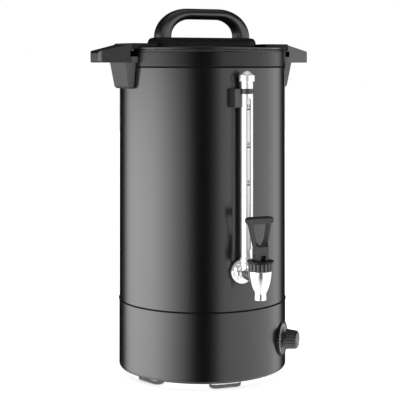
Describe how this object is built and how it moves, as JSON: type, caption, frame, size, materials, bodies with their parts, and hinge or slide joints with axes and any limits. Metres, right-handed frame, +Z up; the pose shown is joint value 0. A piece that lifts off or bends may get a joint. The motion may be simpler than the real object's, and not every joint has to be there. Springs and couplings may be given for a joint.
{
  "type": "hot water urn",
  "caption": "Tall black cylindrical hot water urn with a lever tap, a sight gauge, a dial thermostat, side handles and a twist-lock lid with an arch handle.",
  "frame": {"origin": "on the tank's upright axis, at the level of the surface the feet stand on", "axes": "+Z up, -Y towards the tap and sight gauge, the side handles and the lid's arch along X"},
  "size_m": [0.3208, 0.314, 0.5029],
  "materials": {
    "black_coated_steel": "satin black powder coat",
    "bare_steel": "brushed stainless steel",
    "black_phenolic": "satin moulded black phenolic",
    "chrome_plate": "polished",
    "gauge_glass": "clear",
    "black_rubber": "matte",
    "pale_silicone": "translucent matte",
    "pale_plastic": "moulded",
    "grey_dial": "satin grey with white marks",
    "red_plastic": "moulded",
    "copper": "drawn copper",
    "brass": "machined",
    "wire_insulation": "silicone sleeved wire"
  },
  "bodies": {
    "urn": {"base_skirt": "black_coated_steel", "base_plate": "bare_steel", "foot_pads": "black_rubber", "foot_spacers": "pale_plastic", "foot_screws": "bare_steel", "foot_nuts": "bare_steel", "tie_rods": "bare_steel", "tie_rod_nuts": "bare_steel", "tank_wall": "black_coated_steel", "tank_floor": "bare_steel", "rim_collar": "black_coated_steel", "rolled_rim": "black_coated_steel", "left_handle": "black_phenolic", "right_handle": "black_phenolic", "handle_screws": "bare_steel", "handle_washers": "pale_silicone", "tap_gasket": "black_rubber", "tap_rosette": "chrome_plate", "tap_body": "chrome_plate", "tap_inner_washer": "pale_silicone", "tap_back_nut": "bare_steel", "tap_spout": "chrome_plate", "tap_bonnet": "black_phenolic", "gauge_nut": "chrome_plate", "gauge_seal": "black_rubber", "gauge_glass": "gauge_glass", "gauge_shield": "chrome_plate", "gauge_clamp_ring": "black_phenolic", "gauge_cap": "chrome_plate", "gauge_bracket": "black_phenolic", "gauge_bracket_screw": "bare_steel", "dial_bezel": "black_phenolic", "dial_plate": "grey_dial", "thermostat": "pale_plastic", "capillary": "copper", "sensor_bulb": "copper", "heating_element": "bare_steel", "element_washers": "pale_silicone", "element_nuts": "brass", "reset_cutout": "pale_plastic", "terminal_block": "pale_plastic", "cord_gland": "black_rubber", "wiring": "wire_insulation"},
    "lid_seal": {"lid_seal": "black_rubber"},
    "lid": {"lid_pan": "black_coated_steel", "lid_locating_ring": "black_coated_steel", "left_lid_lug": "black_phenolic", "right_lid_lug": "black_phenolic", "lug_screws": "bare_steel", "lid_bridge": "black_phenolic", "lid_handle": "black_phenolic", "lid_handle_screws": "bare_steel"},
    "valve": {"valve_stem": "bare_steel", "valve_cup": "pale_silicone", "valve_spring": "bare_steel", "lever_pin": "bare_steel"},
    "lever": {"tap_lever": "black_phenolic"},
    "knob": {"knob": "black_phenolic", "knob_spindle": "bare_steel"},
    "reset": {"reset_button": "red_plastic"}
  },
  "joints": [
    {"name": "lid_lift", "type": "slide", "parent": "urn", "child": "lid_seal", "axis": [0, 0, 1], "range_m": [0, 0.16]},
    {"name": "lid_twist", "type": "hinge", "parent": "lid_seal", "child": "lid", "pos_m": [0, 0, 0.4462], "axis": [0, 0, 1], "range_deg": [0, 10]},
    {"name": "stem_lift", "type": "slide", "parent": "urn", "child": "valve", "axis": [0, 0, 1], "range_m": [0, 0.003], "stiffness_N_per_m": 100, "springref_m": -0.01, "deforming": ["valve_spring"]},
    {"name": "lever_tilt", "type": "hinge", "parent": "valve", "child": "lever", "pos_m": [0, -0.168, 0.184], "axis": [1, 0, 0], "range_deg": [0, 25]},
    {"name": "knob_turn", "type": "hinge", "parent": "urn", "child": "knob", "pos_m": [0.08584, -0.08584, 0.052], "axis": [0.7071, -0.7071, 0], "range_deg": [0, 270]},
    {"name": "reset_press", "type": "slide", "parent": "urn", "child": "reset", "axis": [0, 0, 1], "range_m": [0, 0.002], "stiffness_N_per_m": 400, "springref_m": -0.001}
  ],
  "couplings": [
    {"joint": "lever_tilt", "follows": "stem_lift", "rad_per_m": 145}
  ]
}
